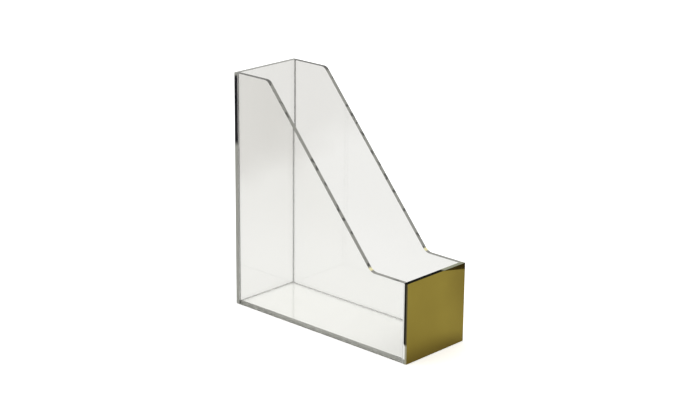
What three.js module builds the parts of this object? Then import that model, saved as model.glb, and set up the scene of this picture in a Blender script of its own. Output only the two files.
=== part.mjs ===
// Desk-top magazine rack made of clear acrylic sheet, with a gold mirror facing on its low front.
//
// Units are millimetres and +Z is up. The origin is the centre of the footprint, on the surface
// that the rack stands on. The low front faces -Y, the tall back faces +Y, and X runs across.
//
// The back and the clear front panel run the full width of the rack. The side panels are cemented
// between them, the base lies inside all four, and the thin gold facing covers the whole front.

import * as THREE from 'three';

// Overall size.
const WIDTH = 92;
const DEPTH = 254;
const HEIGHT = 267;
const FRONT_HEIGHT = 89;

// Sheet thicknesses, and the line of solvent cement between two sheets.
const SHEET = 4.5;
const FACING = 0.5;
const CEMENT = 0.1;

// The sloped cut in the side panels: a level run at the top and at the bottom, with round corners.
const TOP_RUN = 51;
const LOW_RUN = 51;
const TOP_CORNER_RADIUS = 9.5;
const LOW_CORNER_RADIUS = 12;
const ARC_SEGMENTS = 10;

// Faces that the panels are set out from.
const BACK_FACE = DEPTH / 2;
const FACING_FACE = -DEPTH / 2;
const BODY_FRONT_FACE = FACING_FACE + FACING + CEMENT;
const FRONT_INNER_FACE = BODY_FRONT_FACE + SHEET;
const BACK_INNER_FACE = BACK_FACE - SHEET;
const SIDE_FRONT_EDGE = FRONT_INNER_FACE + CEMENT;
const SIDE_BACK_EDGE = BACK_INNER_FACE - CEMENT;
const SIDE_INNER_FACE = WIDTH / 2 - SHEET;
const BASE_WIDTH = 2 * (SIDE_INNER_FACE - CEMENT);

function clearAcrylic() {
  return new THREE.MeshStandardMaterial({
    color: 0xeef2ef,
    roughness: 0.04,
    metalness: 0,
    transparent: true,
    opacity: 0.35,
  });
}

function goldMirror() {
  return new THREE.MeshStandardMaterial({ color: 0xc9a23a, roughness: 0.05, metalness: 1 });
}

// Rounds one corner of an outline with an arc that is tangent to the two straight runs at it.
function roundCorner(outline, before, corner, after, radius) {
  const toBefore = before.clone().sub(corner).normalize();
  const toAfter = after.clone().sub(corner).normalize();
  const halfAngle = Math.acos(toBefore.dot(toAfter)) / 2;
  const bisector = toBefore.clone().add(toAfter).normalize();
  const centre = corner.clone().addScaledVector(bisector, radius / Math.sin(halfAngle));
  const tangentLength = radius / Math.tan(halfAngle);
  const start = corner.clone().addScaledVector(toBefore, tangentLength).sub(centre);
  const end = corner.clone().addScaledVector(toAfter, tangentLength).sub(centre);
  const clockwise = start.cross(end) < 0;
  outline.absarc(centre.x, centre.y, radius, start.angle(), end.angle(), clockwise);
}

// Outline of a side panel, drawn with depth (Y) across and height (Z) up.
function sideOutline() {
  const topBack = new THREE.Vector2(SIDE_BACK_EDGE, HEIGHT);
  const topCorner = new THREE.Vector2(BACK_FACE - TOP_RUN, HEIGHT);
  const lowCorner = new THREE.Vector2(FACING_FACE + LOW_RUN, FRONT_HEIGHT);
  const lowFront = new THREE.Vector2(SIDE_FRONT_EDGE, FRONT_HEIGHT);

  const outline = new THREE.Shape();
  outline.moveTo(SIDE_FRONT_EDGE, 0);
  outline.lineTo(SIDE_BACK_EDGE, 0);
  outline.lineTo(topBack.x, topBack.y);
  roundCorner(outline, topBack, topCorner, lowCorner, TOP_CORNER_RADIUS);
  roundCorner(outline, topCorner, lowCorner, lowFront, LOW_CORNER_RADIUS);
  outline.lineTo(lowFront.x, lowFront.y);
  outline.closePath();
  return outline;
}

// A side panel whose sheet fills X from lowX to lowX + SHEET.
function sidePanel(name, lowX) {
  const geometry = new THREE.ExtrudeGeometry(sideOutline(), {
    depth: SHEET,
    bevelEnabled: false,
    curveSegments: ARC_SEGMENTS,
  });
  const drawnAxes = new THREE.Matrix4().makeBasis(
    new THREE.Vector3(0, 1, 0),
    new THREE.Vector3(0, 0, 1),
    new THREE.Vector3(1, 0, 0),
  );
  geometry.applyMatrix4(drawnAxes);
  const panel = new THREE.Mesh(geometry, clearAcrylic());
  panel.name = name;
  panel.position.x = lowX;
  return panel;
}

// A rectangular sheet, centred across the rack and standing on the floor.
function flatPanel(name, width, lowY, highY, height, material) {
  const panel = new THREE.Mesh(new THREE.BoxGeometry(width, highY - lowY, height), material);
  panel.name = name;
  panel.position.set(0, (lowY + highY) / 2, height / 2);
  return panel;
}

function backPanel() {
  return flatPanel('back_panel', WIDTH, BACK_INNER_FACE, BACK_FACE, HEIGHT, clearAcrylic());
}

function basePanel() {
  return flatPanel('base_panel', BASE_WIDTH, SIDE_FRONT_EDGE, SIDE_BACK_EDGE, SHEET, clearAcrylic());
}

function frontPanel() {
  const lowY = BODY_FRONT_FACE;
  const highY = FRONT_INNER_FACE;
  return flatPanel('front_panel', WIDTH, lowY, highY, FRONT_HEIGHT, clearAcrylic());
}

function goldFacing() {
  const highY = FACING_FACE + FACING;
  return flatPanel('gold_front_facing', WIDTH, FACING_FACE, highY, FRONT_HEIGHT, goldMirror());
}

const magazineRack = new THREE.Group();
magazineRack.add(
  sidePanel('left_side_panel', -WIDTH / 2),
  sidePanel('right_side_panel', SIDE_INNER_FACE),
  backPanel(),
  basePanel(),
  frontPanel(),
  goldFacing(),
);

export default magazineRack;
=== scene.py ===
"""Clear acrylic magazine rack with a gold mirror front, dressed over its CAD frame.

Every sheet is rebuilt with slightly rounded edges where its CAD node says it is. Broad faces are
polished and clear, cut edges are satin, and cemented edges are a little cloudy.
"""

import math

import bmesh
import bpy
from mathutils import Matrix, Vector


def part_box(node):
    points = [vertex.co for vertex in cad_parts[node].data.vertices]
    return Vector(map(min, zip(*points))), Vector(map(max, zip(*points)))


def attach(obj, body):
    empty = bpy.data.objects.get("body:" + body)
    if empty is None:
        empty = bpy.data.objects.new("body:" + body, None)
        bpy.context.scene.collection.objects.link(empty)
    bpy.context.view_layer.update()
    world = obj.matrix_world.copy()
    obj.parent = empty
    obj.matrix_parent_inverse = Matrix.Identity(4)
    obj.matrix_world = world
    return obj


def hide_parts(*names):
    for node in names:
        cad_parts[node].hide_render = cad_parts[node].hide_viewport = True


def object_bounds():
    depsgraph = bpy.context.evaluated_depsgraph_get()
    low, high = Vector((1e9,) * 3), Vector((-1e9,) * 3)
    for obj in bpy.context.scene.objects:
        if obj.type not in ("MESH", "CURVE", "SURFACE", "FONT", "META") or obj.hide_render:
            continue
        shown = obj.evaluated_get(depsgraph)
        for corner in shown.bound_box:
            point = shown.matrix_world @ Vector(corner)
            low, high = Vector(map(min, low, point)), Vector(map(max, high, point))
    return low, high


MM = 0.001

# The sloped cut in the side panels, as in the CAD model.
TOP_RUN = 51 * MM
LOW_RUN = 51 * MM
TOP_CORNER_RADIUS = 9.5 * MM
LOW_CORNER_RADIUS = 12 * MM
ARC_STEPS = 24

# How far each edge is eased, where its faces meet at more than the sharp angle.
ARRIS = 0.25 * MM
THIN_ARRIS = 0.1 * MM
ARRIS_STEPS = 3
SHARP_ANGLE = math.radians(30)

# Order of the materials on a sheet: the polished faces, the cut edges, and the hidden faces, which
# are cemented or painted. The side panels have two more, for their front end and underside.
FACE = 0
CUT = 1
HIDDEN = 2
FRONT_END = 3
UNDERSIDE = 4

# A face points along an axis if its normal has more than this part along it. The stricter value is
# for the square ends of a side panel, and leaves out its slope and round corners.
ALONG = 0.5
SQUARE = 0.99

# Camera.
CAMERA_AZIMUTH = -47.263
CAMERA_ELEVATION = 18.19
CAMERA_ROLL = 0.605
CAMERA_DISTANCE = 2.005
CAMERA_AIM_RIGHT = 0.0022
CAMERA_AIM_UP = 0.12242
CAMERA_LENS = 93.87
SENSOR_WIDTH = 36.0

# Studio: the floor, the strength of the light all round, and of the white behind the object.
FLOOR_SIZE = 12
FLOOR_DROP = 0.2 * MM
FLOOR_TONE = (1.0, 1.0, 0.985)
FLOOR_TONE_IN_CAMERA = (1.5, 1.5, 1.5)
FLOOR_GLOW = 0.05
STUDIO_LIGHT = 0.92
WHITE = 1.1

# Dark cards on the floor, as (x, y) corners. The front card's straight near edges show in the gold
# mirror. The back card shows in the clear sides, and fades in from its near edge.
FRONT_FLAG = [(0.151, -0.306), (0.306, -0.218), (0.75, -0.218), (0.75, -0.6), (0.151, -0.6)]
BACK_FLAG = [(-0.2, 0.35), (-1.2, 0.64), (-1.2, 1.2), (-0.2, 1.2)]
FLAG_TONES = ((0.15, 0.13, 0.12), (0.17, 0.15, 0.14))
FLAG_HEIGHT = 1 * MM
FADE_START = 0.3
FADE_END = 0.38
FADE_SLANT = 0.29

# Bounces of light: enough to cross all the sheets several times.
MAX_BOUNCES = 32
GLOSSY_BOUNCES = 24

# Clear faces, with painted shade over their upper part. The shade's edge is a height that drops towards
# the back and that clouds shift.
ACRYLIC_IOR = 1.49
CLEAR_TINT = (0.991, 0.991, 0.98)
SHADE_TINT = (0.862, 0.854, 0.837)
SHADE_START = 258 * MM
SHADE_END = 335 * MM
SHADE_DROP = 0.6
SHADE_CLOUD = 120 * MM
DUST_TONES = ((1.0, 1.0, 0.99), (0.99, 0.99, 0.975))

# Cut edges. A band is four places: it rises between the first two, and falls between the last two.
CUT_TONES = ((0.27, 0.27, 0.245), (0.35, 0.35, 0.32))
# The dark tone serves for flecks and for painted shade. The pale tone is a painted highlight, and the
# glint is a painted reflection of the gold.
CUT_DARK = (0.05, 0.05, 0.045)
CUT_HIGHLIGHT = (0.7, 0.7, 0.65)
CUT_GLINT = (0.9, 0.84, 0.5)
TOP_CORNER_SHADE_BAND = (72 * MM, 74 * MM, 77 * MM, 80 * MM)
GLINT_BAND = (-76.5 * MM, -75 * MM, -73.5 * MM, -72 * MM)
HIGHLIGHT_WIDTH = 0.3 * MM
HIGHLIGHT_END = 0.6 * MM

# The back panel's edges and the joint beside them, which carry painted shade over a band of height.
UPRIGHT_TONES = ((0.3, 0.3, 0.275), (0.38, 0.38, 0.345))
UPRIGHT_SHADE = (0.008, 0.008, 0.012)
UPRIGHT_SHADE_BAND = (183 * MM, 191 * MM, 262 * MM, 266 * MM)
JOINT_SHADE = (0.02, 0.02, 0.025)
JOINT_SHADE_BAND = (183 * MM, 191 * MM, 235 * MM, 262 * MM)

# Cemented edges, and the side panels' underside, which looks much like one: how clear each is, and
# its dull and bubbled tones.
BASE_JOINT = (0.58, (0.45, 0.45, 0.41), (0.56, 0.56, 0.52))
SIDE_BACK_JOINT = (0.4, (0.5, 0.5, 0.46), (0.65, 0.65, 0.6))
SIDE_FRONT_JOINT = (0.95, (0.97, 0.97, 0.95), (0.85, 0.85, 0.82))
SIDE_UNDERSIDE = (0.85, (0.8, 0.8, 0.72), (0.88, 0.88, 0.8))

# The front panel's edges: a black line between gilt and clear acrylic, a painted reflection of the
# mirror's dark back, with a thin pale foot of painted light. On top the line turns olive, painted light
# where the reflection ends.
LINE_TONES = ((0.008, 0.008, 0.006), (0.02, 0.02, 0.017))
GILT_TONE = (0.12, 0.1, 0.05)
FOOT_LIGHT = (0.38, 0.36, 0.26)
FOOT_SHIFT = 1.7 * MM
OLIVE_LIGHT = (0.33, 0.34, 0.25)
EDGE_TONE = (0.9, 0.9, 0.87)
LOW_EDGE_TONE = (0.36, 0.36, 0.32)

# The mirror and the paint on its back.
GOLD_TONES = ((0.25, 0.188, 0.029), (0.32, 0.246, 0.04))
# The dark gold is painted shade along the foot, and darkens the right end.
DARK_GOLD = (0.13, 0.09, 0.012)
PAINT_TONES = ((0.05, 0.05, 0.048), (0.07, 0.07, 0.067))

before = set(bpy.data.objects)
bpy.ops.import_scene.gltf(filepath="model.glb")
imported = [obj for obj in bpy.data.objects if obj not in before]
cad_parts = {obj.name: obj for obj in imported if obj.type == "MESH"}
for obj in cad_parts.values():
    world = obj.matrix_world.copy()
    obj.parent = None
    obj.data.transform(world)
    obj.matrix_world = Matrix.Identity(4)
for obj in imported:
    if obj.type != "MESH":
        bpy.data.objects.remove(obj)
cad_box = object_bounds()


# ---------------------------------------------------------------- shapes


def rounded_corner(before, corner, after, radius):
    """Points of the arc that is tangent to the two straight runs meeting at corner."""
    to_before = (before - corner).normalized()
    to_after = (after - corner).normalized()
    half = math.acos(to_before.dot(to_after)) / 2
    centre = corner + (to_before + to_after).normalized() * (radius / math.sin(half))
    first = corner + to_before * (radius / math.tan(half)) - centre
    last = corner + to_after * (radius / math.tan(half)) - centre
    start = math.atan2(first.y, first.x)
    turn = math.atan2(first.x * last.y - first.y * last.x, first.dot(last))
    angles = [start + turn * i / ARC_STEPS for i in range(ARC_STEPS + 1)]
    return [centre + Vector((math.cos(a), math.sin(a))) * radius for a in angles]


def side_outline(low, high, front_height):
    """Side panel's outline as (depth, height) points."""
    top_back = Vector((high.y, high.z))
    top_corner = Vector((cad_box[1].y - TOP_RUN, high.z))
    low_corner = Vector((cad_box[0].y + LOW_RUN, front_height))
    low_front = Vector((low.y, front_height))
    outline = [Vector((low.y, low.z)), Vector((high.y, low.z)), top_back]
    outline += rounded_corner(top_back, top_corner, low_corner, TOP_CORNER_RADIUS)
    outline += rounded_corner(top_corner, low_corner, low_front, LOW_CORNER_RADIUS)
    outline.append(low_front)
    return outline


def sheet_mesh(name, ring, thickness):
    """A closed sheet: the ring of points, swept along the thickness vector."""
    bm = bmesh.new()
    near = [bm.verts.new(p) for p in ring]
    face = bm.faces.new(near)
    swept = bmesh.ops.extrude_face_region(bm, geom=[face])["geom"]
    moved = [v for v in swept if isinstance(v, bmesh.types.BMVert)]
    bmesh.ops.translate(bm, verts=moved, vec=thickness)
    bmesh.ops.recalc_face_normals(bm, faces=bm.faces)
    mesh = bpy.data.meshes.new(name)
    bm.to_mesh(mesh)
    bm.free()
    piece = bpy.data.objects.new(name, mesh)
    bpy.context.scene.collection.objects.link(piece)
    return piece


def ease_edges(piece, width):
    """Rounds the sharp edges with a bevel and keeps the broad faces flat."""
    bevel = piece.modifiers.new("arris", "BEVEL")
    bevel.width = width
    bevel.segments = ARRIS_STEPS
    bevel.limit_method = "ANGLE"
    bevel.angle_limit = SHARP_ANGLE
    bevel.harden_normals = True
    bevel.material = CUT
    for polygon in piece.data.polygons:
        polygon.use_smooth = True


def side_panel(node):
    low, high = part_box(node)
    front_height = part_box("front_panel")[1].z
    ring = [Vector((low.x, p.x, p.y)) for p in side_outline(low, high, front_height)]
    return sheet_mesh(node + "_sheet", ring, Vector((high.x - low.x, 0, 0)))


def box_panel(node):
    low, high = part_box(node)
    ring = [
        Vector((low.x, low.y, low.z)),
        Vector((high.x, low.y, low.z)),
        Vector((high.x, high.y, low.z)),
        Vector((low.x, high.y, low.z)),
    ]
    return sheet_mesh(node + "_sheet", ring, Vector((0, 0, high.z - low.z)))


def dress(piece, materials, pick):
    """Gives the piece its materials, and each face the one that pick names for its normal."""
    for material in materials:
        piece.data.materials.append(material)
    for polygon in piece.data.polygons:
        polygon.material_index = pick(polygon.normal)


# Which material each face of a sheet has, by the way that the face points.


def side_panel_face(normal):
    """Cemented to the front and the back panel, standing on the floor, and cut along the top."""
    if abs(normal.x) > ALONG:
        return FACE
    if normal.z < -SQUARE:
        return UNDERSIDE
    if normal.y < -SQUARE:
        return FRONT_END
    return HIDDEN if normal.y > SQUARE else CUT


def back_panel_face(normal):
    return FACE if abs(normal.y) > ALONG else CUT


def base_panel_face(normal):
    """Cemented all round."""
    return FACE if abs(normal.z) > ALONG else HIDDEN


def front_panel_face(normal):
    """The mirror's dark back lies against the outer face."""
    if abs(normal.y) < ALONG:
        return CUT
    return FACE if normal.y > 0 else HIDDEN


def gold_facing_face(normal):
    """Mirror on the outside, and dark paint on the back."""
    if abs(normal.y) < ALONG:
        return CUT
    return FACE if normal.y < 0 else HIDDEN


# ---------------------------------------------------------------- materials


class Graph:
    """Short ways to add nodes to one material."""

    # Places of the colour sockets of a Mix node.
    MIX_FIRST = 6
    MIX_SECOND = 7
    MIX_RESULT = 2

    def __init__(self, name):
        self.material = bpy.data.materials.new(name)
        self.material.use_nodes = True
        self.nodes = self.material.node_tree.nodes
        self.links = self.material.node_tree.links
        self.shader = self.nodes["Principled BSDF"]
        self.place = self.nodes.new("ShaderNodeTexCoord").outputs["Object"]

    def set(self, **values):
        for name, value in values.items():
            self.shader.inputs[name.replace("_", " ")].default_value = value

    def drive(self, socket, name):
        self.links.new(socket, self.shader.inputs[name])

    def along(self, axis):
        """Position along X, Y or Z, in metres."""
        split = self.nodes.new("ShaderNodeSeparateXYZ")
        self.links.new(self.place, split.inputs[0])
        return split.outputs[axis]

    def noise(self, scale, detail=2.0):
        noise = self.nodes.new("ShaderNodeTexNoise")
        noise.inputs["Scale"].default_value = scale
        noise.inputs["Detail"].default_value = detail
        self.links.new(self.place, noise.inputs["Vector"])
        return noise.outputs["Fac"]

    def ramp(self, socket, start, end, low=0.0, high=1.0):
        """Maps start..end to low..high smoothly, clamped."""
        node = self.nodes.new("ShaderNodeMapRange")
        node.interpolation_type = "SMOOTHSTEP"
        node.inputs["From Min"].default_value = start
        node.inputs["From Max"].default_value = end
        node.inputs["To Min"].default_value = low
        node.inputs["To Max"].default_value = high
        self.links.new(socket, node.inputs["Value"])
        return node.outputs["Result"]

    def fade(self, socket, start, end):
        """1 up to start and 0 from end, smooth in between."""
        return self.ramp(socket, start, end, low=1.0, high=0.0)

    def band(self, socket, rise_start, rise_end, fall_start, fall_end):
        """1 from rise_end to fall_start and 0 outside the band, smooth in between."""
        rise = self.ramp(socket, rise_start, rise_end)
        return self.math("MULTIPLY", rise, self.fade(socket, fall_start, fall_end))

    def math(self, operation, first, second):
        node = self.nodes.new("ShaderNodeMath")
        node.operation = operation
        for i, value in enumerate((first, second)):
            if isinstance(value, (int, float)):
                node.inputs[i].default_value = value
            else:
                self.links.new(value, node.inputs[i])
        return node.outputs[0]

    def mix(self, factor, first, second):
        """Colour between first and second, which are colours or colour sockets."""
        node = self.nodes.new("ShaderNodeMix")
        node.data_type = "RGBA"
        self.links.new(factor, node.inputs["Factor"])
        for i, colour in ((self.MIX_FIRST, first), (self.MIX_SECOND, second)):
            if isinstance(colour, tuple):
                node.inputs[i].default_value = (*colour, 1)
            else:
                self.links.new(colour, node.inputs[i])
        return node.outputs[self.MIX_RESULT]

    def bump(self, socket, strength, distance):
        node = self.nodes.new("ShaderNodeBump")
        node.inputs["Strength"].default_value = strength
        node.inputs["Distance"].default_value = distance
        self.links.new(socket, node.inputs["Height"])
        self.links.new(node.outputs["Normal"], self.shader.inputs["Normal"])


def clear_acrylic():
    """Polished faces: almost clear, with painted shade in cloudy patches, strongest at the top, the
    back and the right.
    """
    graph = Graph("clear_acrylic")
    graph.set(IOR=ACRYLIC_IOR, Transmission_Weight=1.0)
    height = graph.along("Z")
    depth = graph.along("Y")
    cloud = graph.math("MULTIPLY", graph.noise(scale=11, detail=3), SHADE_CLOUD)
    reach = graph.math("ADD", height, graph.math("MULTIPLY", depth, SHADE_DROP))
    corner = graph.ramp(graph.math("ADD", reach, cloud), SHADE_START, SHADE_END, high=0.52)
    upper = graph.ramp(height, 40 * MM, 140 * MM, high=0.28)
    rear = graph.ramp(depth, 60 * MM, 125 * MM, high=0.1)
    painted_shade = graph.math("ADD", graph.math("ADD", corner, upper), rear)
    # The painted shade is stronger towards the right.
    thickness = graph.ramp(graph.along("X"), cad_box[0].x, cad_box[1].x, low=0.8, high=1.4)
    painted_shade = graph.math("MULTIPLY", painted_shade, thickness)
    graph.drive(graph.mix(painted_shade, CLEAR_TINT, SHADE_TINT), "Base Color")
    smears = graph.noise(scale=26, detail=4)
    graph.drive(graph.ramp(smears, 0.5, 0.75, high=0.03), "Roughness")
    return graph.material


def dusty_acrylic():
    """The base panel's broad faces: clear, and a little hazy with dust."""
    graph = Graph("dusty_acrylic")
    graph.set(IOR=ACRYLIC_IOR, Transmission_Weight=1.0, Specular_IOR_Level=0.1)
    graph.drive(graph.mix(graph.noise(scale=18, detail=3), *DUST_TONES), "Base Color")
    dust = graph.noise(scale=40, detail=3)
    graph.drive(graph.ramp(dust, 0.3, 0.7, low=0.07, high=0.11), "Roughness")
    return graph.material


def satin(graph):
    """Finish of a cut edge, with fine tool marks."""
    wear = graph.noise(scale=90, detail=2)
    graph.drive(graph.ramp(wear, 0.3, 0.7, low=0.25, high=0.4), "Roughness")
    graph.bump(graph.noise(scale=900, detail=2), strength=0.15, distance=0.05 * MM)


def cut_edge():
    """Cut and scraped edges: satin grey with dark flecks, painted shade at the top corner and along the
    top run, painted highlights along the eased edges, and a painted glint at the foot of the slope.
    """
    graph = Graph("cut_edge")
    graph.set(IOR=ACRYLIC_IOR, Specular_IOR_Level=0.1)
    height = graph.along("Z")
    depth = graph.along("Y")
    tone = graph.mix(graph.noise(scale=60, detail=2), *CUT_TONES)

    # Dark in flecks, and painted shade round the top corner and along the top run.
    fleck = graph.ramp(graph.noise(scale=130, detail=1), 0.58, 0.66, high=0.75)
    corner = graph.band(depth, *TOP_CORNER_SHADE_BAND)
    corner = graph.math("MULTIPLY", corner, graph.ramp(height, 256 * MM, 260 * MM, high=0.6))
    top_run_shade = graph.ramp(height, 264 * MM, 266 * MM, high=0.65)
    dark = graph.math("MAXIMUM", fleck, graph.math("MAXIMUM", corner, top_run_shade))
    tone = graph.mix(dark, tone, CUT_DARK)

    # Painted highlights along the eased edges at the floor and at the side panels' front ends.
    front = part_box("left_side_panel")[0].y
    lowest = graph.fade(height, HIGHLIGHT_WIDTH, HIGHLIGHT_END)
    foremost = graph.fade(depth, front + HIGHLIGHT_WIDTH, front + HIGHLIGHT_END)
    tone = graph.mix(graph.math("MAXIMUM", lowest, foremost), tone, CUT_HIGHLIGHT)

    # A painted glint at the foot of the slope: a pale yellow reflection of the gold.
    glint = graph.band(depth, *GLINT_BAND)
    glint = graph.math("MULTIPLY", glint, graph.ramp(height, 50 * MM, 60 * MM))
    graph.drive(graph.mix(glint, tone, CUT_GLINT), "Base Color")
    satin(graph)
    return graph.material


def upright_edge():
    """The back panel's exposed edges, with painted shade over a band towards the top."""
    graph = Graph("upright_edge")
    graph.set(IOR=ACRYLIC_IOR, Specular_IOR_Level=0.2)
    tone = graph.mix(graph.noise(scale=60, detail=2), *UPRIGHT_TONES)
    dark = graph.band(graph.along("Z"), *UPRIGHT_SHADE_BAND)
    graph.drive(graph.mix(dark, tone, UPRIGHT_SHADE), "Base Color")
    satin(graph)
    return graph.material


def cloudy_cement(graph, clearness, dull, bubbled):
    """Look of a cemented edge: partly clear, and cloudy grey with small bubbles. Gives the colour."""
    graph.set(IOR=ACRYLIC_IOR, Roughness=0.3, Transmission_Weight=clearness)
    bubble = graph.ramp(graph.noise(scale=260, detail=1), 0.58, 0.68)
    return graph.mix(bubble, dull, bubbled)


def cement_line(name, clearness, dull, bubbled):
    """A cemented edge that looks the same all along."""
    graph = Graph(name)
    graph.drive(cloudy_cement(graph, clearness, dull, bubbled), "Base Color")
    return graph.material


def back_end():
    """Side panels' cemented back ends, with painted shade beside the painted shade on the back's edges.
    """
    graph = Graph("back_end")
    cloudy = cloudy_cement(graph, *SIDE_BACK_JOINT)
    dark = graph.band(graph.along("Z"), *JOINT_SHADE_BAND)
    graph.drive(graph.mix(dark, cloudy, JOINT_SHADE), "Base Color")
    return graph.material


def dark_backing():
    """Dark grey paint on the back of the mirror, seen through the clear front panel."""
    graph = Graph("dark_backing")
    graph.set(Specular_IOR_Level=0.2)
    graph.drive(graph.mix(graph.noise(scale=40, detail=3), *PAINT_TONES), "Base Color")
    texture = graph.noise(scale=70, detail=2)
    graph.drive(graph.ramp(texture, 0.3, 0.7, low=0.35, high=0.5), "Roughness")
    return graph.material


def backed_edge():
    """Edges of the front panel and its facing. The mirror's dark back shows as a dark line, a painted
    reflection.
    """
    graph = Graph("backed_edge")
    graph.set(IOR=ACRYLIC_IOR, Roughness=0.35, Specular_IOR_Level=0.0)
    height = graph.along("Z")
    depth = graph.along("Y")
    black = graph.mix(graph.noise(scale=120, detail=2), *LINE_TONES)

    # Sides, from front to back: gilt, the black line of painted reflection with its pale foot of
    # painted light, and clear acrylic.
    gilt = graph.fade(depth, -125.7 * MM, -125.3 * MM)
    foot = graph.fade(height, 19 * MM, 23 * MM)
    shifted = graph.math("ADD", depth, graph.math("MULTIPLY", foot, FOOT_SHIFT))
    clear = graph.ramp(shifted, -123.1 * MM, -122.7 * MM)
    low = graph.fade(height, 4 * MM, 6 * MM)
    side = graph.mix(foot, graph.mix(gilt, black, GILT_TONE), FOOT_LIGHT)
    side = graph.mix(clear, side, graph.mix(low, EDGE_TONE, LOW_EDGE_TONE))

    # Top, where the painted reflection of the dark back gives way to olive painted light towards the
    # right.
    top = graph.mix(graph.ramp(graph.along("X"), 9 * MM, 14 * MM), black, OLIVE_LIGHT)
    top_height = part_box("front_panel")[1].z
    on_top = graph.ramp(height, top_height - 0.6 * MM, top_height - 0.4 * MM)
    graph.drive(graph.mix(on_top, side, top), "Base Color")
    return graph.material


def gold_mirror():
    """Gold acrylic mirror, slightly wavy and mottled, with painted shade along its foot and darker
    towards its right end.
    """
    graph = Graph("gold_mirror")
    graph.set(Metallic=1.0)
    height = graph.along("Z")
    gold = graph.mix(graph.noise(scale=22, detail=2), *GOLD_TONES)
    # Painted shade along the foot, where the mirror would reflect the shaded floor in front of it.
    foot = graph.ramp(height, -6 * MM, 24 * MM, low=0.75, high=0.0)
    # Darker towards the right end, and more so higher up.
    end = graph.ramp(graph.along("X"), 5 * MM, 60 * MM, high=0.35)
    end = graph.math("MULTIPLY", end, graph.ramp(height, 10 * MM, 80 * MM, low=0.6, high=1.7))
    graph.drive(graph.mix(graph.math("MAXIMUM", foot, end), gold, DARK_GOLD), "Base Color")
    polish = graph.noise(scale=60, detail=3)
    graph.drive(graph.ramp(polish, 0.3, 0.7, low=0.01, high=0.035), "Roughness")
    graph.bump(graph.noise(scale=35, detail=1), strength=0.03, distance=0.2 * MM)
    return graph.material


# ---------------------------------------------------------------- studio


def add_floor():
    """Pale floor, which the camera sees as plain white and which glows a little under the rack."""
    bpy.ops.mesh.primitive_plane_add(size=FLOOR_SIZE)
    floor = bpy.context.object
    floor.name = "floor"
    floor.location.z = -FLOOR_DROP
    graph = Graph("floor_white")
    graph.set(Roughness=1.0, Specular_IOR_Level=0.0)
    seen = graph.nodes.new("ShaderNodeLightPath").outputs["Is Camera Ray"]
    graph.drive(graph.mix(seen, FLOOR_TONE, FLOOR_TONE_IN_CAMERA), "Base Color")
    across = graph.math("ABSOLUTE", graph.along("X"), 0)
    lengthways = graph.math("ABSOLUTE", graph.along("Y"), 0)
    under = graph.math("LESS_THAN", across, cad_box[1].x)
    under = graph.math("MULTIPLY", under, graph.math("LESS_THAN", lengthways, cad_box[1].y))
    graph.set(Emission_Color=(1.0, 1.0, 1.0, 1))
    graph.drive(graph.math("MULTIPLY", under, FLOOR_GLOW), "Emission Strength")
    floor.data.materials.append(graph.material)


def add_flag(name, corners, fades):
    """A dark card lying on the floor, seen in reflections only. It may fade in from its near edge."""
    mesh = bpy.data.meshes.new(name)
    mesh.from_pydata([(x, y, FLAG_HEIGHT) for x, y in corners], [], [tuple(range(len(corners)))])
    flag = bpy.data.objects.new(name, mesh)
    bpy.context.scene.collection.objects.link(flag)
    graph = Graph(name)
    graph.set(Roughness=1.0, Specular_IOR_Level=0.0)
    colour = graph.mix(graph.noise(scale=3), *FLAG_TONES)
    if fades:
        slant = graph.math("MULTIPLY", graph.along("X"), FADE_SLANT)
        depth = graph.math("ADD", graph.along("Y"), slant)
        colour = graph.mix(graph.ramp(depth, FADE_START, FADE_END), FLOOR_TONE, colour)
    graph.drive(colour, "Base Color")
    flag.data.materials.append(graph.material)
    flag.visible_camera = False
    flag.visible_diffuse = False
    flag.visible_transmission = False
    flag.visible_shadow = False


def add_world():
    """Even soft light from all round. Behind the object it is plain white."""
    world = bpy.data.worlds.new("studio")
    world.use_nodes = True
    nodes = world.node_tree.nodes
    links = world.node_tree.links
    seen = nodes.new("ShaderNodeLightPath").outputs["Is Camera Ray"]
    strength = nodes.new("ShaderNodeMapRange")
    strength.inputs["To Min"].default_value = STUDIO_LIGHT
    strength.inputs["To Max"].default_value = WHITE
    links.new(seen, strength.inputs["Value"])
    nodes["Background"].inputs["Color"].default_value = (1, 1, 1, 1)
    links.new(strength.outputs["Result"], nodes["Background"].inputs["Strength"])
    bpy.context.scene.world = world


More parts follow.
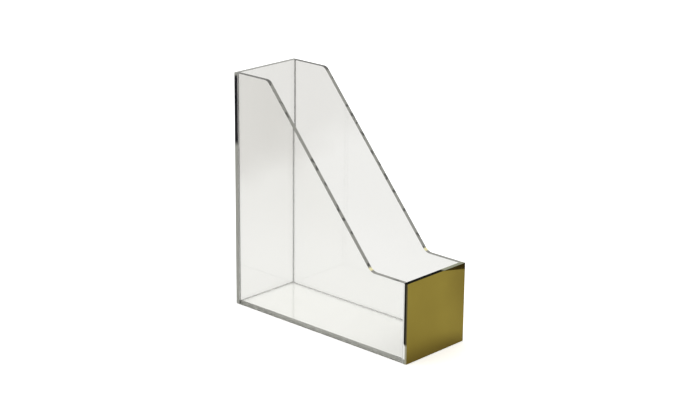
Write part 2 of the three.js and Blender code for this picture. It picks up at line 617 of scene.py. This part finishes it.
def add_camera():
    azimuth = math.radians(CAMERA_AZIMUTH)
    elevation = math.radians(CAMERA_ELEVATION)
    back = Vector((
        math.sin(azimuth) * math.cos(elevation),
        -math.cos(azimuth) * math.cos(elevation),
        math.sin(elevation),
    ))
    right = Vector((math.cos(azimuth), math.sin(azimuth), 0))
    up = back.cross(right)
    data = bpy.data.cameras.new("camera")
    data.sensor_width = SENSOR_WIDTH
    data.lens = CAMERA_LENS
    camera = bpy.data.objects.new("camera", data)
    bpy.context.scene.collection.objects.link(camera)
    camera.location = right * CAMERA_AIM_RIGHT + up * CAMERA_AIM_UP + back * CAMERA_DISTANCE
    level = (-back).to_track_quat("-Z", "Y").to_matrix()
    roll = Matrix.Rotation(math.radians(CAMERA_ROLL), 3, back)
    camera.rotation_euler = (roll @ level).to_euler()
    bpy.context.scene.camera = camera


def set_view():
    scene = bpy.context.scene
    scene.view_settings.view_transform = "Standard"
    scene.cycles.blur_glossy = 0
    scene.cycles.max_bounces = MAX_BOUNCES
    scene.cycles.glossy_bounces = GLOSSY_BOUNCES
    scene.cycles.transmission_bounces = MAX_BOUNCES


add_camera()
add_floor()
add_flag("front_flag", FRONT_FLAG, fades=False)
add_flag("back_flag", BACK_FLAG, fades=True)
add_world()
set_view()

clear = clear_acrylic()
cut = cut_edge()
backed = backed_edge()
backing = dark_backing()
base_joint = cement_line("base_joint", *BASE_JOINT)
front_end = cement_line("front_end", *SIDE_FRONT_JOINT)
underside = cement_line("underside", *SIDE_UNDERSIDE)
side_looks = [clear, cut, back_end(), front_end, underside]
looks = {
    "left_side_panel": (side_looks, side_panel_face),
    "right_side_panel": (side_looks, side_panel_face),
    "back_panel": ([clear, upright_edge()], back_panel_face),
    "base_panel": ([dusty_acrylic(), cut, base_joint], base_panel_face),
    "front_panel": ([clear, backed, backing], front_panel_face),
    "gold_front_facing": ([gold_mirror(), backed, backing], gold_facing_face),
}
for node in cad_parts:
    is_gold = node == "gold_front_facing"
    piece = side_panel(node) if node.endswith("side_panel") else box_panel(node)
    dress(piece, *looks[node])
    ease_edges(piece, THIN_ARRIS if is_gold else ARRIS)
    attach(piece, "root")
    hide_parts(node)
